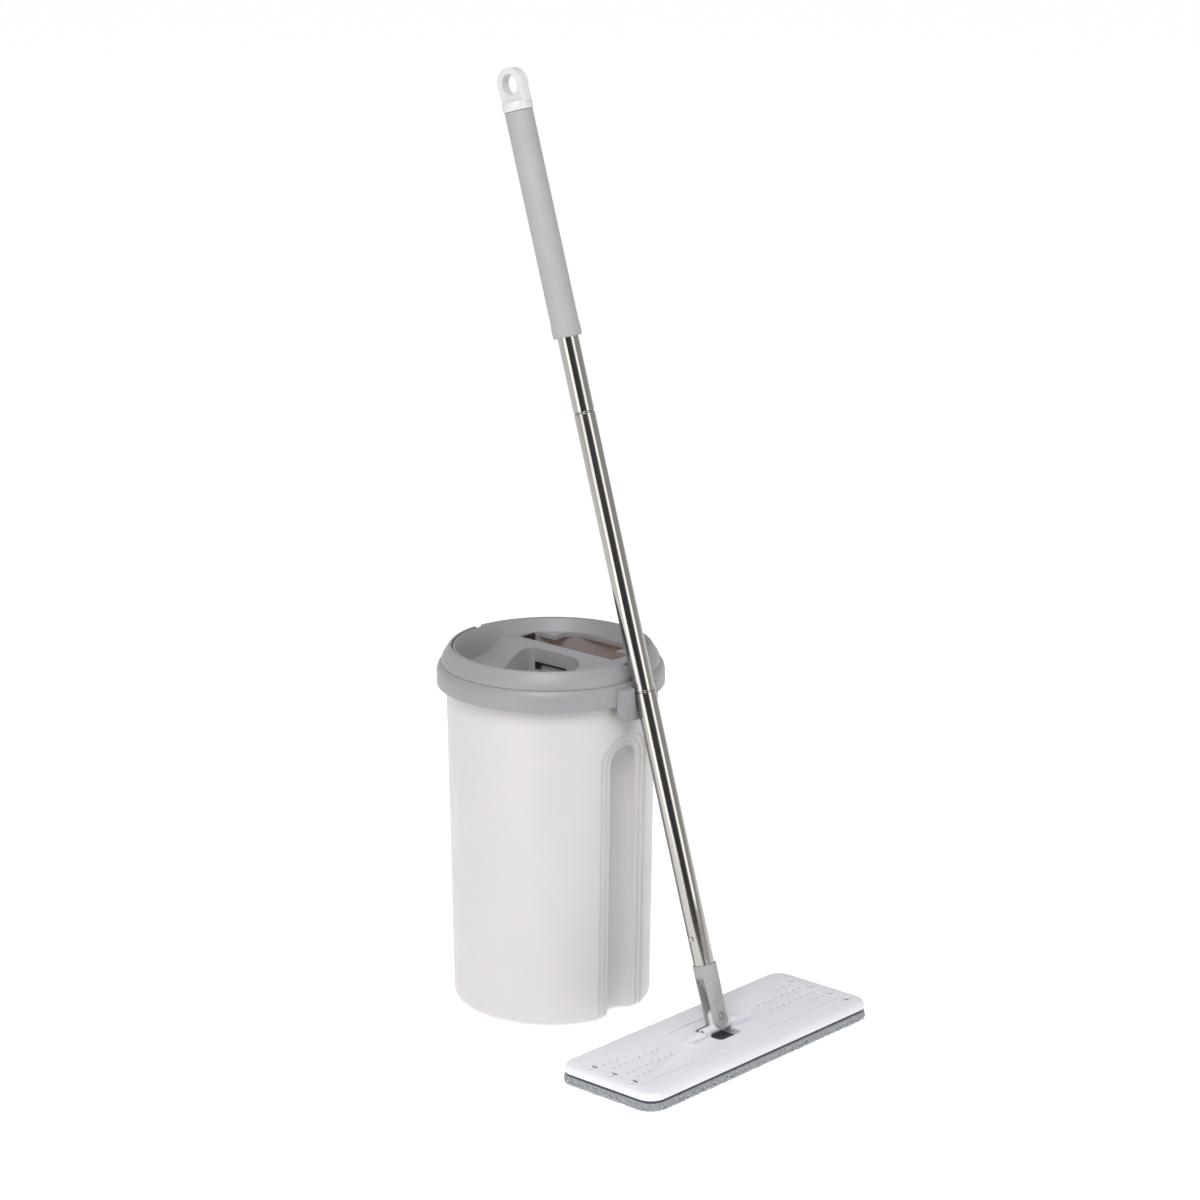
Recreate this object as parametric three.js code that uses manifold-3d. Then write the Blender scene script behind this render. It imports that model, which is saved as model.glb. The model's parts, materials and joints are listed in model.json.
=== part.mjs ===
// Flat mop parked on its round scraper bucket.
// Millimetres, +Z up, origin on the floor at the middle of the set's box.
// X runs along the mop head, -Y is the front, where the mop leans on the bucket's pole clip.

import * as THREE from 'three';
import { ConvexGeometry } from 'three/addons/geometries/ConvexGeometry.js';
import { mergeVertices } from 'three/addons/utils/BufferGeometryUtils.js';
import Module from 'manifold-3d';

const wasm = await Module();
wasm.setup();

// ---------------------------------------------------------------- driving dimensions

const GAP = 0.3; // between touching pieces
const EASE = 0.5; // between sliding pieces
const PAST = 1; // how far a cutting tool runs past the face it cuts
const ROUND = 60; // segments round the bucket
const ROUND_SMALL = 24; // segments round a tube

// bucket
const BUCKET_R = 110; // at the collar
const BUCKET_TAPER = 5.3; // smaller radius at the base
const BUCKET_H = 350; // floor to the lid's collar
const BUCKET_WALL = 2.5;
const BASE_FILLET = 8;
const FOOT_H = 1.7;
const FOOT_R = 5;
const FOOT_PLACE_R = 86;
const FOOT_COUNT = 4;

// flute down the bucket's front
const FLUTE_HALF = 34.5;
const FLUTE_STEP_WIDE = 7.2;
const FLUTE_STEP_DEEP = 2;
const FLUTE_STEPS = 3;
const FLUTE_TOP_GAP = 35; // from the collar down to the arch's crown
const CHANNEL_HALF = 19;
const CHANNEL_DEEP = 9.5; // middle of the channel behind its edges

// lid insert
const COLLAR_LAP = 10; // collar beyond the bucket's side
const COLLAR_WALL = 2.5;
const COLLAR_H = 22; // bucket top to the ledge that carries the handle
const COLLAR_ROUND = 4.2;
const DECK_RISE = 4; // deck above the ledge
const LID_WALL = 2.5;
const RIM_RISE = 17; // rim wall above the ledge
const RIM_INSET = 7; // outside of the rim wall, in from the bucket's side
const RIM_TOP_THICK = 2;
const RIM_BASE_THICK = 7.5;
const SHOULDER_OUT = 12; // shoulder and handle beyond the rim wall, at the ledge
const SHOULDER_TOP_OUT = 4;
const SHOULDER_H = 17.4;

// lid openings, in plan from the bucket's axis
const BRIDGE_X = 13; // bridge's near side
const BRIDGE_WIDE = 20;
const SLOT_WIDE = 27;
const SLOT_EASE = 7; // slot longer than the mop head is wide
const SLOT_MID_Y = 9.5;
const BULGE_WIDE = 54;
const BULGE_LONG = 88;
const BULGE_MID_Y = 6;
const BULGE_ROUND = 14;
const SKIRT_DEEP = 15; // skirt round the opening, below the deck
const BULGE_SKIRT_DEEP = 5; // the same skirt on the side away from the scraper
const POCKET_DEEP = 24;
const POCKET_BACK_Y = 39;
const POCKET_ROUND = 9;
const POCKET_BEND_Y = -10; // where the pocket's side turns away from the bridge
const POCKET_FRONT_X = -22;
const POCKET_FRONT_Y = -54;
const RAMP_DROP = 16;
const RAMP_RUN = 31; // length of the ramp down its slope, in plan
const RAMP_TURN = Math.PI / 6; // fall line, clockwise from -X
const RAMP_OFFSET = 21.5; // bucket axis to the ramp's top line
const RAMP_STEPS = 8;
const WINDOW_LONG = 46;
const WINDOW_TALL = 9;
const WINDOW_MID_Y = 13;

// scraper under the bridge
const SCRAPER_LONG = 112;
const FRAME_TALL = 22;
const FRAME_WALL = 2.5;
const FRAME_WINDOW_LONG = 40;
const FRAME_WINDOW_TALL = 9;
const HOLDER_TALL = 11;
const HOLDER_THICK = 7.5;
const BLADE_THICK = 3.5;
const BLADE_TIP_THICK = 1.2;
const BLADE_REACH = 2; // past the bridge's slot side
const STOP_THICK = 3;
const STOP_RISE = 14.5; // above the frame
const STOP_SIDE = 5; // between the stop and the slot's far side
const STOP_TEETH = 4;
const STOP_TOOTH_H = 3;

// carry handle
const HANDLE_EASE = 1.2; // between rim wall and handle
const HANDLE_PIVOT_X = -5;
const HANDLE_BOSS_R = 7.7;
const PIVOT_PIN_R = 2.5;
const PIVOT_PIN_LONG = 11.3;
const PIVOT_PIN_BITE = 3.5; // how far the pin goes into the rim wall

// pole clip on the collar
const CLIP_HALF = 26.5;
const CLIP_TALL = 34;
const CLIP_DROP = 15; // below the collar's lower edge
const CLIP_OUT = 9; // beyond the collar
const CLIP_ROUND = 8; // lower corners
const CLIP_EASE = 0.8; // round the pole
const TONGUE_HALF = 10;
const TONGUE_TALL = 7;
const TONGUE_LONG = 5.5;

// mop head
const HEAD_LONG = 350;
const HEAD_WIDE = 128;
const HEAD_CORNER = 18;
const HEAD_DISTANCE = 233.8; // bucket axis to the head's long axle
const PAD_H = 8.4;
const PAD_OVERHANG = 1;
const BACKING_H = 2.7;
const BACKING_INSET = 1.2;
const PLATE_EDGE_H = 3.5;
const PLATE_H = 8.3;
const PLATE_BEVEL = 6;
const PLATE_SHEET = 2.5;
const PLATE_WALL = 3;
const WELL_HALF_X = 17; // opening round the joint
const WELL_HALF_Y = 19;
const RECESS_HALF_X = 44;
const RECESS_HALF_Y = 33;
const RECESS_DEEP = 1.6;
const RECESS_RIM = 3; // solid round the recess, under the plate
const GROOVE_LONG = 124;
const GROOVE_WIDE = 12;
const GROOVE_DEEP = 1.4;
const GROOVE_MID_X = 98;
const GROOVE_MID_Y = -42;
const HOLE_R = 1.5;
const HOLE_PITCH = 9.53;
const HOLE_OUT_X = 147.3;
const HOLE_ROWS = [
  { y: 25.1, count: 3 },
  { y: 12, count: 8 },
  { y: -6.6, count: 8 },
  { y: -19.7, count: 3 },
];
const NOTCH_LONG = 3;
const NOTCH_WIDE = 8;
const NOTCH_X = -157.5;
const BUTTON_R = 3.2;
const BUTTON_H = 1.8;
const LEFT_BUTTON_X = -164.5;
const RIGHT_BUTTON_X = 157.5;
const LEFT_BUTTON_YS = [29, 2, -25.5];
const RIGHT_BUTTON_YS = [31.4, 5.9, -21.6, -44.5];

// two-way joint between head and pole
const AXLE_RISE = 3.2; // axle above the head plate's top
const AXLE_R = 2.5;
const AXLE_END = 1; // beyond the ears
const EAR_R = 4.6;
const EAR_THICK = 9;
const RIDGE_LONG = 24; // low housing beyond each ear
const RIDGE_DROP = 3; // its middle, below the axle
const HUB_R = 4.6;
const HUB_LONG = 31;
const NECK_HALF_X = 7;
const NECK_HALF_Y = 4.5;
const PIN_RISE = 11.75; // axle to the fork's pin, along the pole
const PIN_R = 2.5;
const PIN_HEAD_R = 4.2;
const PIN_HEAD_H = 1.4;
const BORE_EASE = 0.3;

// pole, heights along it from the axle
const TUBE_R = 11;
const TUBE_WALL = 1;
const FORK_HALF_X = 10.5;
const FORK_HALF_Y = 8;
const FORK_CORNER = 3;
const FORK_TOP_R = 12.4;
const FORK_TOP = 67.2;
const FORK_LOW = -0.3; // tip of the tines
const FORK_FLARE_LOW = 26; // between these heights the tines widen into the round socket
const FORK_FLARE_HIGH = 46;
const FORK_CROTCH = 37; // top of the gap between the two tines
const FORK_SOCKET = 56; // where the tube ends inside the fork
const FORK_WINDOW_TOP = 54; // wedge cut into each side above the gap
const FORK_WINDOW_DEEP = 8;
const FORK_PANEL_HALF = 4.5; // shallow panel down each tine
const FORK_PANEL_DEEP = 0.7;
const FORK_PANEL_LONG = 23;
const BOSS_R = 7.5;
const BOSS_H = 0.7;
const LOWER_JOINT = 356.5; // between the lower and middle tubes
const UPPER_JOINT = 648.5;
const JOINT_RING_H = 1.2;
const JOINT_RING_R = 10.5;
const JOINT_PLUG_LONG = 26;
const RIVET_RISE = 96;
const RIVET_R = 2.6;
const RIVET_H = 0.9;
const GRIP_BOTTOM = 726.8;
const GRIP_TOP = 960.5;
const GRIP_R = 14.5;
const GRIP_BOTTOM_R = 15.2;
const CAP_BASE_R = 15.6;
const CAP_BASE_H = 9;
const CAP_PLUG_LONG = 24;
const LOOP_R = 17;
const LOOP_HOLE_R = 10.8;
const LOOP_THICK = 11;
const LOOP_TOP = 1005;
const LEAN_GAP = 0.4; // between pole and collar

// ---------------------------------------------------------------- heights and places

const BASE_Z = FOOT_H + GAP;
const BASE_R = BUCKET_R - BUCKET_TAPER;
const COLLAR_R = BUCKET_R + COLLAR_LAP;
const LEDGE_Z = BUCKET_H + COLLAR_H;
const LEDGE_PLATE_Z = LEDGE_Z - LID_WALL;
const BODY_TOP_Z = LEDGE_PLATE_Z - GAP;
const DECK_Z = LEDGE_Z + DECK_RISE;
const RIM_Z = LEDGE_Z + RIM_RISE;
const RIM_R = BUCKET_R - RIM_INSET;
const RIM_IN_R = RIM_R - RIM_BASE_THICK;
const PLUG_R = RIM_IN_R + LID_WALL;
const PLUG_BOTTOM_Z = DECK_Z - POCKET_DEEP - LID_WALL;
const POCKET_FLOOR_Z = DECK_Z - POCKET_DEEP;
const SLOT_X = BRIDGE_X + BRIDGE_WIDE;
const SLOT_LONG = HEAD_WIDE + SLOT_EASE;
const SLOT_BACK_Y = SLOT_MID_Y + SLOT_LONG / 2;
const FRAME_TOP_Z = DECK_Z - SKIRT_DEEP - GAP;
const FRAME_MID_Z = FRAME_TOP_Z - FRAME_TALL / 2;
const FRAME_BACK_X = BRIDGE_X + LID_WALL + GAP;
const HANDLE_IN_R = RIM_R + HANDLE_EASE;
const HANDLE_Z = LEDGE_Z + GAP;
const HANDLE_PIVOT_Z = HANDLE_Z + HANDLE_BOSS_R;
const SHOULDER_START_X = HANDLE_PIVOT_X + SHOULDER_H - HANDLE_BOSS_R + 2 * GAP;
const PIVOT_PIN_IN_R = RIM_R - PIVOT_PIN_BITE;
const BACKING_Z = PAD_H + GAP;
const PLATE_Z = BACKING_Z + BACKING_H + GAP;
const PLATE_TOP_Z = PLATE_Z + PLATE_H;
const AXLE_HALF = HUB_LONG / 2 + EASE + EAR_THICK + AXLE_END;
const AXLE_Z = PLATE_TOP_Z + AXLE_RISE;
const HEAD_HALF_X = HEAD_LONG / 2;
const HEAD_HALF_Y = HEAD_WIDE / 2;

// The pole leans until it is LEAN_GAP from the collar's upper edge.
const leanRise = LEDGE_Z - 2 * COLLAR_ROUND - AXLE_Z;
const leanRun = HEAD_DISTANCE - COLLAR_R;
const leanReach = Math.hypot(leanRise, leanRun);
const LEAN = Math.atan2(leanRun, leanRise) - Math.asin((TUBE_R + LEAN_GAP) / leanReach);

// The set's box runs from the pad's front edge to the collar's back.
const BUCKET_Y = (HEAD_DISTANCE + HEAD_HALF_Y + PAD_OVERHANG - COLLAR_R) / 2;
const HEAD_Y = BUCKET_Y - HEAD_DISTANCE;

// ---------------------------------------------------------------- solids

/** From near to far on one side of zero, lower end first. */
function span(side, near, far) {
  return side < 0 ? [-far, -near] : [near, far];
}

/** A closed geometry as a manifold solid, turned right side out if needed. */
function solid(geometry) {
  const bare = geometry.clone();
  for (const name of Object.keys(bare.attributes)) {
    if (name !== 'position') bare.deleteAttribute(name);
  }
  const merged = mergeVertices(bare, 1e-4);
  const points = merged.attributes.position.array;
  const triangles = [];
  let volume = 0;
  for (let i = 0; i < merged.index.count; i += 3) {
    const [a, b, c] = [0, 1, 2].map((k) => merged.index.getX(i + k));
    if (a === b || b === c || c === a) continue;
    triangles.push(a, b, c);
    const [p, q, r] = [a, b, c].map((k) => new THREE.Vector3().fromArray(points, 3 * k));
    volume += p.dot(q.cross(r));
  }
  const ordered = volume < 0 ? triangles.reverse() : triangles;
  const mesh = new wasm.Mesh({
    numProp: 3,
    vertProperties: new Float32Array(points),
    triVerts: new Uint32Array(ordered),
  });
  mesh.merge();
  return new wasm.Manifold(mesh);
}

/** The first solid without the others. */
function cut(first, ...others) {
  return others.reduce((left, other) => left.subtract(other), first);
}

/** All the solids as one. */
function join(first, ...others) {
  return others.reduce((left, other) => left.add(other), first);
}

/** What all the solids share. */
function common(first, ...others) {
  return others.reduce((left, other) => left.intersect(other), first);
}

/** A manifold solid as a flat-shaded geometry. */
function toGeometry(body) {
  const mesh = body.getMesh();
  const geometry = new THREE.BufferGeometry();
  const points = new Float32Array((mesh.vertProperties.length / mesh.numProp) * 3);
  for (let i = 0; i < points.length / 3; i += 1) {
    points.set(mesh.vertProperties.subarray(i * mesh.numProp, i * mesh.numProp + 3), 3 * i);
  }
  geometry.setAttribute('position', new THREE.BufferAttribute(points, 3));
  geometry.setIndex([...mesh.triVerts]);
  geometry.computeVertexNormals();
  return geometry;
}

/** A box between two corners. */
function box([x0, x1], [y0, y1], [z0, z1]) {
  const geometry = new THREE.BoxGeometry(x1 - x0, y1 - y0, z1 - z0);
  return solid(geometry.translate((x0 + x1) / 2, (y0 + y1) / 2, (z0 + z1) / 2));
}

/** A closed profile of [radius, height] points turned about Z. */
function turned(profile, segments = ROUND) {
  const points = [...profile, profile[0]].map(([r, z]) => new THREE.Vector2(r, z));
  return solid(new THREE.LatheGeometry(points, segments).rotateX(Math.PI / 2));
}

/** A disc or rod about Z. */
function rod(radius, bottom, top, segments = ROUND_SMALL) {
  const geometry = new THREE.CylinderGeometry(radius, radius, top - bottom, segments);
  return solid(geometry.rotateX(Math.PI / 2).translate(0, 0, (bottom + top) / 2));
}

/** A rod along X at a height z. */
function rodX(radius, from, to, z, y = 0, segments = ROUND_SMALL) {
  const geometry = new THREE.CylinderGeometry(radius, radius, to - from, segments);
  return solid(geometry.rotateZ(Math.PI / 2).translate((from + to) / 2, y, z));
}

/** A rod along Y at a height z. */
function rodY(radius, from, to, z, x = 0, segments = ROUND_SMALL) {
  const geometry = new THREE.CylinderGeometry(radius, radius, to - from, segments);
  return solid(geometry.translate(x, (from + to) / 2, z));
}

/** A plan outline raised from bottom to top. */
function raised(shape, bottom, top, curveSegments = 6) {
  const options = { depth: top - bottom, bevelEnabled: false, curveSegments };
  return solid(new THREE.ExtrudeGeometry(shape, options).translate(0, 0, bottom));
}

/** A rectangle's outline with round corners. */
function roundRect(halfX, halfY, corner, midX = 0, midY = 0) {
  const shape = new THREE.Shape();
  const [x0, x1, y0, y1] = [midX - halfX, midX + halfX, midY - halfY, midY + halfY];
  shape.moveTo(x0 + corner, y0);
  shape.lineTo(x1 - corner, y0);
  shape.absarc(x1 - corner, y0 + corner, corner, -Math.PI / 2, 0, false);
  shape.lineTo(x1, y1 - corner);
  shape.absarc(x1 - corner, y1 - corner, corner, 0, Math.PI / 2, false);
  shape.lineTo(x0 + corner, y1);
  shape.absarc(x0 + corner, y1 - corner, corner, Math.PI / 2, Math.PI, false);
  shape.lineTo(x0, y0 + corner);
  shape.absarc(x0 + corner, y0 + corner, corner, Math.PI, 1.5 * Math.PI, false);
  return shape;
}

const MATERIALS = {
  white: { color: '#e3e2e0', roughness: 0.35, metalness: 0 },
  plate: { color: '#d6d6de', roughness: 0.4, metalness: 0 },
  grey: { color: '#b0b2b4', roughness: 0.45, metalness: 0 },
  grip: { color: '#a4a6a6', roughness: 0.6, metalness: 0 },
  black: { color: '#1d1e20', roughness: 0.5, metalness: 0 },
  rubber: { color: '#3a3b3e', roughness: 0.8, metalness: 0 },
  steel: { color: '#b9b4ac', roughness: 0.15, metalness: 1 },
  fabric: { color: '#969ba0', roughness: 0.95, metalness: 0 },
};

/** A named mesh of a solid. */
function piece(name, body, material) {
  const mesh = new THREE.Mesh(toGeometry(body), new THREE.MeshStandardMaterial(MATERIALS[material]));
  mesh.name = name;
  return mesh;
}

// ---------------------------------------------------------------- bucket

/** The flute's cutting tool: nested arches and a round channel, each one grown by a wall. */
/** Solid inside the bucket's side, that much below its surface. */
function bucketCore(depth) {
  return turned([
    [0, -2 * BASE_FILLET],
    [BASE_R - depth, -2 * BASE_FILLET],
    [BASE_R - depth, BASE_Z + BASE_FILLET],
    [BUCKET_R - depth, BUCKET_H],
    [0, BUCKET_H],
  ]);
}

/** Upright prism with an arched top, open towards the front. */
function arch(half, backY, springZ, grow) {
  return join(
    box([-half - grow, half + grow], [-COLLAR_R, backY], [-PAST - grow, springZ]),
    rodY(half + grow, -COLLAR_R, backY, springZ, 0, 28),
  );
}

/** What the flute takes out of the bucket: steps that follow its side, then a round channel. */
function fluteTool(grow) {
  const springZ = BUCKET_H - FLUTE_TOP_GAP - FLUTE_HALF;
  const steps = [];
  for (let step = 0; step < FLUTE_STEPS; step += 1) {
    const half = FLUTE_HALF - step * FLUTE_STEP_WIDE;
    const depth = (step + 1) * FLUTE_STEP_DEEP;
    steps.push(cut(arch(half, 0, springZ, grow), bucketCore(depth + grow)));
  }
  const edgeY = -Math.sqrt((BASE_R - FLUTE_STEPS * FLUTE_STEP_DEEP) ** 2 - CHANNEL_HALF ** 2);
  const channelR = (CHANNEL_HALF ** 2 + CHANNEL_DEEP ** 2) / (2 * CHANNEL_DEEP);
  const channelY = edgeY + CHANNEL_DEEP - channelR;
  const channel = rod(channelR + grow, -PAST - grow, springZ, 40);
  const crown = solid(new THREE.SphereGeometry(channelR + grow, 40, 16).translate(0, 0, springZ));
  const tall = join(channel, crown).translate([0, channelY, 0]);
  return join(common(tall, arch(CHANNEL_HALF, 0, springZ, grow)), ...steps);
}

function bucketBody() {
  const outside = turned([
    [0, BASE_Z],
    [BASE_R - BASE_FILLET, BASE_Z],
    [BASE_R - 0.5 * BASE_FILLET, BASE_Z + 0.13 * BASE_FILLET],
    [BASE_R - 0.13 * BASE_FILLET, BASE_Z + 0.5 * BASE_FILLET],
    [BASE_R, BASE_Z + BASE_FILLET],
    [BUCKET_R, BUCKET_H],
    [BUCKET_R, BODY_TOP_Z],
    [0, BODY_TOP_Z],
  ]);
  const floorZ = BASE_Z + BUCKET_WALL;
  const inside = turned([
    [0, floorZ],
    [BASE_R - BASE_FILLET, floorZ],
    [BASE_R - BUCKET_WALL, BASE_Z + BASE_FILLET],
    [BUCKET_R - BUCKET_WALL, BUCKET_H],
    [BUCKET_R - BUCKET_WALL, BODY_TOP_Z + PAST],
    [0, BODY_TOP_Z + PAST],
  ]);
  return cut(outside, fluteTool(0), cut(inside, fluteTool(BUCKET_WALL)));
}

function foot(index) {
  const turn = Math.PI * (0.25 + (2 * index) / FOOT_COUNT);
  const mesh = piece(`foot_${index + 1}`, rod(FOOT_R, 0, FOOT_H, 24), 'white');
  mesh.position.set(FOOT_PLACE_R * Math.cos(turn), FOOT_PLACE_R * Math.sin(turn), 0);
  return mesh;
}

// ---------------------------------------------------------------- lid

/** The handle's and shoulder's ring, from an inner radius out. */
function shoulderRing(innerR, bottom) {
  const top = bottom + SHOULDER_H;
  const outR = RIM_R + SHOULDER_OUT;
  const topR = RIM_R + SHOULDER_TOP_OUT;
  return turned([
    [innerR, bottom],
    [outR, bottom],
    [outR - 1, bottom + 6],
    [topR + 1.6, top - 3],
    [topR - 0.6, top],
    [innerR, top],
  ]);
}

/** The mop slot with its D-shaped bulge, in plan, grown by a wall. */
function mopOpening(grow, bottom, top) {
  const halfLong = SLOT_LONG / 2 + grow;
  const slot = box(
    [SLOT_X - grow, SLOT_X + SLOT_WIDE + grow],
    [SLOT_MID_Y - halfLong, SLOT_MID_Y + halfLong],
    [bottom, top],
  );
  const halfWide = BULGE_WIDE / 2 + grow;
  const midX = SLOT_X + BULGE_WIDE / 2;
  const outline = roundRect(halfWide, BULGE_LONG / 2 + grow, BULGE_ROUND + grow, midX, BULGE_MID_Y);
  const within = rod(RIM_IN_R - 0.5 + grow, bottom, top, ROUND);
  return common(join(slot, raised(outline, bottom, top)), within);
}

/** The near pocket, grown by a wall: bounded by the bridge, a back wall and the rim. */
function pocketTool(grow, bottom, top) {
  const shape = new THREE.Shape();
  const right = BRIDGE_X + grow;
  const back = POCKET_BACK_Y + grow;
  const corner = POCKET_ROUND + grow;
  const front = POCKET_FRONT_Y - grow;
  shape.moveTo(-2 * PLUG_R, back);
  shape.lineTo(right - corner, back);
  shape.absarc(right - corner, back - corner, corner, Math.PI / 2, 0, true);
  shape.lineTo(right, POCKET_BEND_Y);
  shape.quadraticCurveTo(right, front + 14, POCKET_FRONT_X, front);
  shape.lineTo(-2 * PLUG_R, front - 1.2 * PLUG_R);
  const within = rod(RIM_IN_R + grow, bottom, top, ROUND);
  return common(raised(shape, bottom, top), within);
}

/** Everything above the S-shaped ramp that falls from the bridge's back end. */
function aboveRamp() {
  const shape = new THREE.Shape();
  shape.moveTo(RAMP_OFFSET, DECK_Z + PAST);
  for (let i = 0; i <= RAMP_STEPS; i += 1) {
    const t = i / RAMP_STEPS;
    shape.lineTo(RAMP_OFFSET + t * RAMP_RUN, DECK_Z - RAMP_DROP * t * t * (3 - 2 * t));
  }
  shape.lineTo(2 * PLUG_R, DECK_Z - RAMP_DROP);
  shape.lineTo(2 * PLUG_R, DECK_Z + PAST);
  const long = 4 * PLUG_R;
  const geometry = new THREE.ExtrudeGeometry(shape, { depth: long, bevelEnabled: false });
  geometry.translate(0, 0, -long / 2).rotateX(Math.PI / 2).rotateZ(Math.PI - RAMP_TURN);
  return solid(geometry);
}

/** Collar, ledge and rim wall in one ring. */
function lidRing() {
  return turned([
    [RIM_IN_R, PLUG_BOTTOM_Z],
    [PLUG_R, PLUG_BOTTOM_Z],
    [PLUG_R, LEDGE_PLATE_Z],
    [COLLAR_R - COLLAR_WALL, LEDGE_PLATE_Z],
    [COLLAR_R - COLLAR_WALL, BUCKET_H],
    [COLLAR_R, BUCKET_H],
    [COLLAR_R, LEDGE_Z - 2 * COLLAR_ROUND],
    [COLLAR_R - 0.3 * COLLAR_ROUND, LEDGE_Z - 0.8 * COLLAR_ROUND],
    [COLLAR_R - COLLAR_ROUND, LEDGE_Z],
    [RIM_R, LEDGE_Z],
    [RIM_R, RIM_Z - 0.8],
    [RIM_R - 0.8, RIM_Z],
    [RIM_R - RIM_TOP_THICK, RIM_Z],
    [RIM_IN_R, DECK_Z],
  ]);
}

/** Deck and ramp as one sheet. */
function lidDeck() {
  const bottom = DECK_Z - RAMP_DROP - 2 * LID_WALL;
  const below = cut(rod(RIM_IN_R + 1, bottom, DECK_Z, ROUND), aboveRamp());
  return cut(below, below.translate([0, 0, -LID_WALL]));
}

function lidInsert() {
  const top = DECK_Z + PAST;
  const shoulder = common(
    shoulderRing(RIM_R - 0.5, LEDGE_Z),
    box([SHOULDER_START_X, COLLAR_R], [-COLLAR_R, COLLAR_R], [0, 2 * RIM_Z]),
  );
  const pocketShell = cut(pocketTool(LID_WALL, PLUG_BOTTOM_Z, DECK_Z), aboveRamp());
  const farSide = [SLOT_X + SLOT_WIDE / 2, COLLAR_R];
  const skirt = cut(
    mopOpening(LID_WALL, DECK_Z - SKIRT_DEEP, DECK_Z),
    box(farSide, [-COLLAR_R, COLLAR_R], [0, DECK_Z - BULGE_SKIRT_DEEP]),
  );
  const closed = join(lidRing(), lidDeck(), pocketShell, skirt, shoulder);
  const windowY = [WINDOW_MID_Y - WINDOW_LONG / 2, WINDOW_MID_Y + WINDOW_LONG / 2];
  const window = box(
    [BRIDGE_X - PAST, BRIDGE_X + LID_WALL + PAST],
    windowY,
    [POCKET_FLOOR_Z, POCKET_FLOOR_Z + WINDOW_TALL],
  );
  const holes = [-1, 1].map((side) => {
    const ends = span(side, PIVOT_PIN_IN_R - GAP, RIM_R + PAST);
    return rodY(PIVOT_PIN_R + BORE_EASE, ...ends, HANDLE_PIVOT_Z, HANDLE_PIVOT_X);
  });
  const tongueHole = box(
    [-TONGUE_HALF - GAP, TONGUE_HALF + GAP],
    [-COLLAR_R - PAST, -COLLAR_R + 2 * COLLAR_WALL],
    [BUCKET_H + 2.5, BUCKET_H + 2.5 + TONGUE_TALL + 2 * GAP],
  );
  const opened = cut(
    closed,
    pocketTool(0, POCKET_FLOOR_Z, top),
    mopOpening(0, PLUG_BOTTOM_Z - PAST, top),
    window,
    tongueHole,
    ...holes,
  );
  return piece('lid_insert', opened, 'grey');
}

function poleClip() {
  const bottom = BUCKET_H - CLIP_DROP;
  const top = bottom + CLIP_TALL;
  const halfTall = CLIP_TALL / 2 + CLIP_ROUND;
  const shape = roundRect(CLIP_HALF, halfTall, CLIP_ROUND, 0, bottom + halfTall);
  const depth = COLLAR_R + 2 * CLIP_OUT;
  const slab = new THREE.ExtrudeGeometry(shape, { depth, bevelEnabled: false, curveSegments: 5 });
  const front = common(
    solid(slab.rotateX(Math.PI / 2)),
    cut(rod(COLLAR_R + CLIP_OUT, bottom, top, ROUND), rod(COLLAR_R + GAP, 0, 2 * top, ROUND)),
  );
  const tongue = box(
    [-TONGUE_HALF, TONGUE_HALF],
    [-COLLAR_R - 1.5, -COLLAR_R - 1.5 + TONGUE_LONG],
    [BUCKET_H + 2.5 + GAP, BUCKET_H + 2.5 + GAP + TONGUE_TALL],
  );
  const channelR = TUBE_R + CLIP_EASE;
  const channel = rod(channelR, 0, 2 * BUCKET_H, 40)
    .rotate([-THREE.MathUtils.radToDeg(LEAN), 0, 0])
    .translate([0, -HEAD_DISTANCE, AXLE_Z]);
  const mouth = box([-channelR, channelR], [-COLLAR_R, 0], [0, 2 * BUCKET_H])
    .rotate([-THREE.MathUtils.radToDeg(LEAN), 0, 0])
    .translate([0, -HEAD_DISTANCE, AXLE_Z]);
  return piece('pole_clip', cut(join(front, tongue), channel, mouth), 'grey');
}

function carryHandle() {
  const ring = shoulderRing(HANDLE_IN_R, HANDLE_Z);
  const tall = [0, 2 * RIM_Z];
  const bow = box([-COLLAR_R, HANDLE_PIVOT_X], [-COLLAR_R, COLLAR_R], tall);
  const bosses = rodY(HANDLE_BOSS_R, -COLLAR_R, COLLAR_R, HANDLE_PIVOT_Z, HANDLE_PIVOT_X);
  const bores = [-1, 1].map((side) => {
    const ends = span(side, RIM_R, PIVOT_PIN_IN_R + PIVOT_PIN_LONG + GAP);
    return rodY(PIVOT_PIN_R + BORE_EASE, ...ends, HANDLE_PIVOT_Z, HANDLE_PIVOT_X);
  });
  return piece('carry_handle', cut(common(ring, join(bow, bosses)), ...bores), 'grey');
}

function handlePin(side) {
  const ends = span(side, PIVOT_PIN_IN_R, PIVOT_PIN_IN_R + PIVOT_PIN_LONG);
  const name = side < 0 ? 'handle_pin_front' : 'handle_pin_back';
  return piece(name, rodY(PIVOT_PIN_R, ...ends, HANDLE_PIVOT_Z, HANDLE_PIVOT_X, 20), 'grey');
}

// ---------------------------------------------------------------- scraper

const scraperY = [SLOT_MID_Y - SCRAPER_LONG / 2, SLOT_MID_Y + SCRAPER_LONG / 2];

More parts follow.
